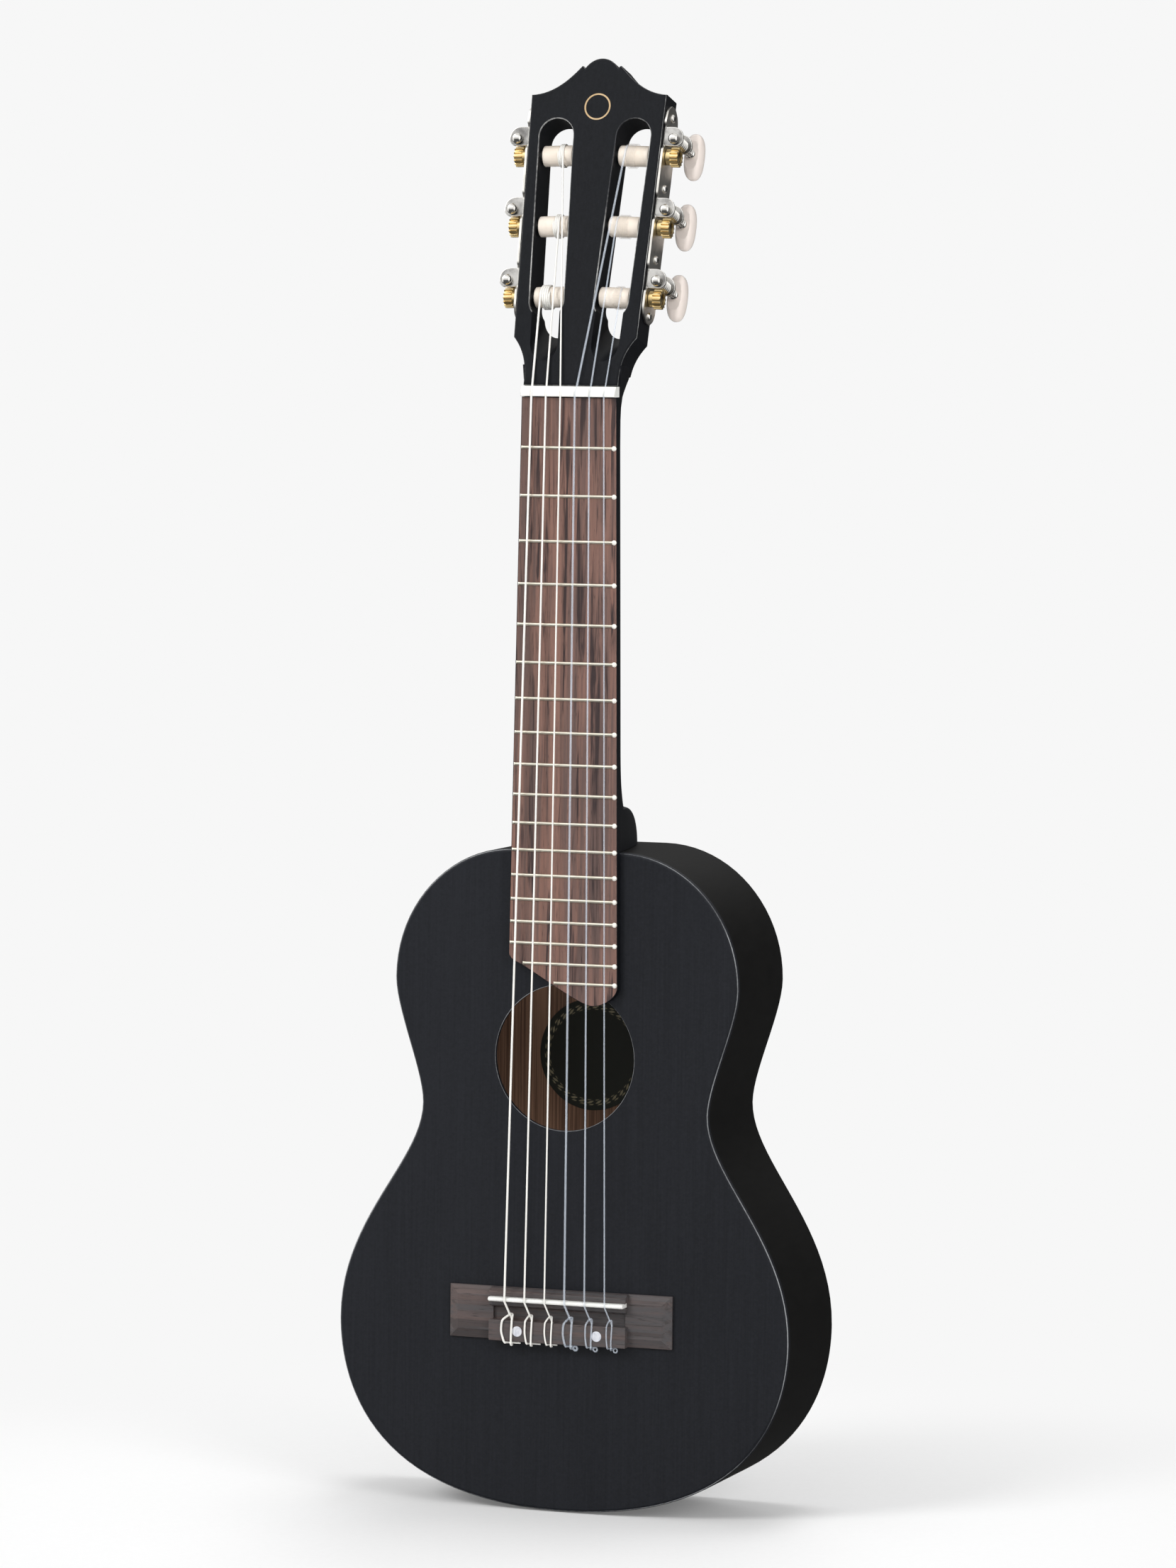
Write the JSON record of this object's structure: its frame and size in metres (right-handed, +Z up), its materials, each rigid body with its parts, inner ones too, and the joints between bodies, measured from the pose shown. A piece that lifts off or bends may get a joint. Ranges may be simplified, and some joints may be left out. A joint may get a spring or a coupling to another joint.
{
  "type": "guitalele",
  "caption": "Small travel guitar with nylon strings, a waisted hollow body, a slanted fingerboard end and a slotted head with geared tuning machines.",
  "frame": {"origin": "on the centre line, at the front edge of the nut and on the playing face of the fingerboard", "axes": "+Z up the neck towards the head, -Y out of the playing face, +X towards the thinnest string"},
  "size_m": [0.229, 0.0814, 0.6973],
  "materials": {
    "black_satin_spruce": "satin black lacquer",
    "black_satin_mahogany": "satin black lacquer",
    "black_neck_lacquer": "satin black lacquer",
    "rosewood_board": "oiled",
    "rosewood_bridge": "oiled",
    "white_urea": "polished",
    "nickel": "nickel plated",
    "brass": "machined",
    "cream_plastic": "moulded",
    "clear_nylon": "drawn",
    "white_nylon": "drawn"
  },
  "bodies": {
    "frame": {"back": "black_satin_mahogany", "bridge": "rosewood_bridge", "fingerboard": "rosewood_board", "fret_01": "nickel", "fret_02": "nickel", "fret_03": "nickel", "fret_04": "nickel", "fret_05": "nickel", "fret_06": "nickel", "fret_07": "nickel", "fret_08": "nickel", "fret_09": "nickel", "fret_10": "nickel", "fret_11": "nickel", "fret_12": "nickel", "fret_13": "nickel", "fret_14": "nickel", "fret_15": "nickel", "fret_16": "nickel", "fret_17": "nickel", "fret_18": "nickel", "neck": "black_neck_lacquer", "neck_block": "black_satin_mahogany", "nut": "white_urea", "rim": "black_satin_mahogany", "saddle": "white_urea", "soundboard": "black_satin_spruce", "string_1": "clear_nylon", "string_2": "clear_nylon", "string_3": "clear_nylon", "string_4": "white_nylon", "string_5": "white_nylon", "string_6": "white_nylon", "tail_block": "black_satin_mahogany", "tuner_plate_bass": "nickel", "tuner_plate_treble": "nickel"},
    "worm_body_1": {"worm_1": "nickel", "button_1": "cream_plastic"},
    "roller_body_1": {"roller_1": "cream_plastic", "gear_1": "brass"},
    "worm_body_2": {"worm_2": "nickel", "button_2": "cream_plastic"},
    "roller_body_2": {"roller_2": "cream_plastic", "gear_2": "brass"},
    "worm_body_3": {"worm_3": "nickel", "button_3": "cream_plastic"},
    "roller_body_3": {"roller_3": "cream_plastic", "gear_3": "brass"},
    "worm_body_6": {"worm_6": "nickel", "button_6": "cream_plastic"},
    "roller_body_6": {"roller_6": "cream_plastic", "gear_6": "brass"},
    "worm_body_5": {"worm_5": "nickel", "button_5": "cream_plastic"},
    "roller_body_5": {"roller_5": "cream_plastic", "gear_5": "brass"},
    "worm_body_4": {"worm_4": "nickel", "button_4": "cream_plastic"},
    "roller_body_4": {"roller_4": "cream_plastic", "gear_4": "brass"}
  },
  "joints": [
    {"name": "button_turn_1", "type": "hinge", "parent": "frame", "child": "worm_body_1", "pos_m": [0.03784, 0.02409, 0.05319], "axis": [0, 0.9681, -0.2504], "continuous": true},
    {"name": "roller_turn_1", "type": "hinge", "parent": "frame", "child": "roller_body_1", "pos_m": [0.03174, 0.01983, 0.0467], "axis": [0.9997, -0.0065, -0.025], "continuous": true},
    {"name": "button_turn_2", "type": "hinge", "parent": "frame", "child": "worm_body_2", "pos_m": [0.03874, 0.03285, 0.08706], "axis": [0, 0.9681, -0.2504], "continuous": true},
    {"name": "roller_turn_2", "type": "hinge", "parent": "frame", "child": "roller_body_2", "pos_m": [0.03265, 0.02859, 0.08057], "axis": [0.9997, -0.0065, -0.025], "continuous": true},
    {"name": "button_turn_3", "type": "hinge", "parent": "frame", "child": "worm_body_3", "pos_m": [0.03964, 0.04161, 0.12093], "axis": [0, 0.9681, -0.2504], "continuous": true},
    {"name": "roller_turn_3", "type": "hinge", "parent": "frame", "child": "roller_body_3", "pos_m": [0.03355, 0.03735, 0.11445], "axis": [0.9997, -0.0065, -0.025], "continuous": true},
    {"name": "button_turn_6", "type": "hinge", "parent": "frame", "child": "worm_body_6", "pos_m": [-0.03784, 0.02409, 0.05319], "axis": [0, 0.9681, -0.2504], "continuous": true},
    {"name": "roller_turn_6", "type": "hinge", "parent": "frame", "child": "roller_body_6", "pos_m": [-0.03174, 0.01983, 0.0467], "axis": [0.9997, 0.0065, 0.025], "continuous": true},
    {"name": "button_turn_5", "type": "hinge", "parent": "frame", "child": "worm_body_5", "pos_m": [-0.03874, 0.03285, 0.08706], "axis": [0, 0.9681, -0.2504], "continuous": true},
    {"name": "roller_turn_5", "type": "hinge", "parent": "frame", "child": "roller_body_5", "pos_m": [-0.03265, 0.02859, 0.08057], "axis": [0.9997, 0.0065, 0.025], "continuous": true},
    {"name": "button_turn_4", "type": "hinge", "parent": "frame", "child": "worm_body_4", "pos_m": [-0.03964, 0.04161, 0.12093], "axis": [0, 0.9681, -0.2504], "continuous": true},
    {"name": "roller_turn_4", "type": "hinge", "parent": "frame", "child": "roller_body_4", "pos_m": [-0.03355, 0.03735, 0.11445], "axis": [0.9997, 0.0065, 0.025], "continuous": true}
  ],
  "couplings": [
    {"joint": "roller_turn_1", "follows": "button_turn_1", "ratio": 0.071429},
    {"joint": "roller_turn_2", "follows": "button_turn_2", "ratio": 0.071429},
    {"joint": "roller_turn_3", "follows": "button_turn_3", "ratio": 0.071429},
    {"joint": "roller_turn_6", "follows": "button_turn_6", "ratio": 0.071429},
    {"joint": "roller_turn_5", "follows": "button_turn_5", "ratio": 0.071429},
    {"joint": "roller_turn_4", "follows": "button_turn_4", "ratio": 0.071429}
  ]
}
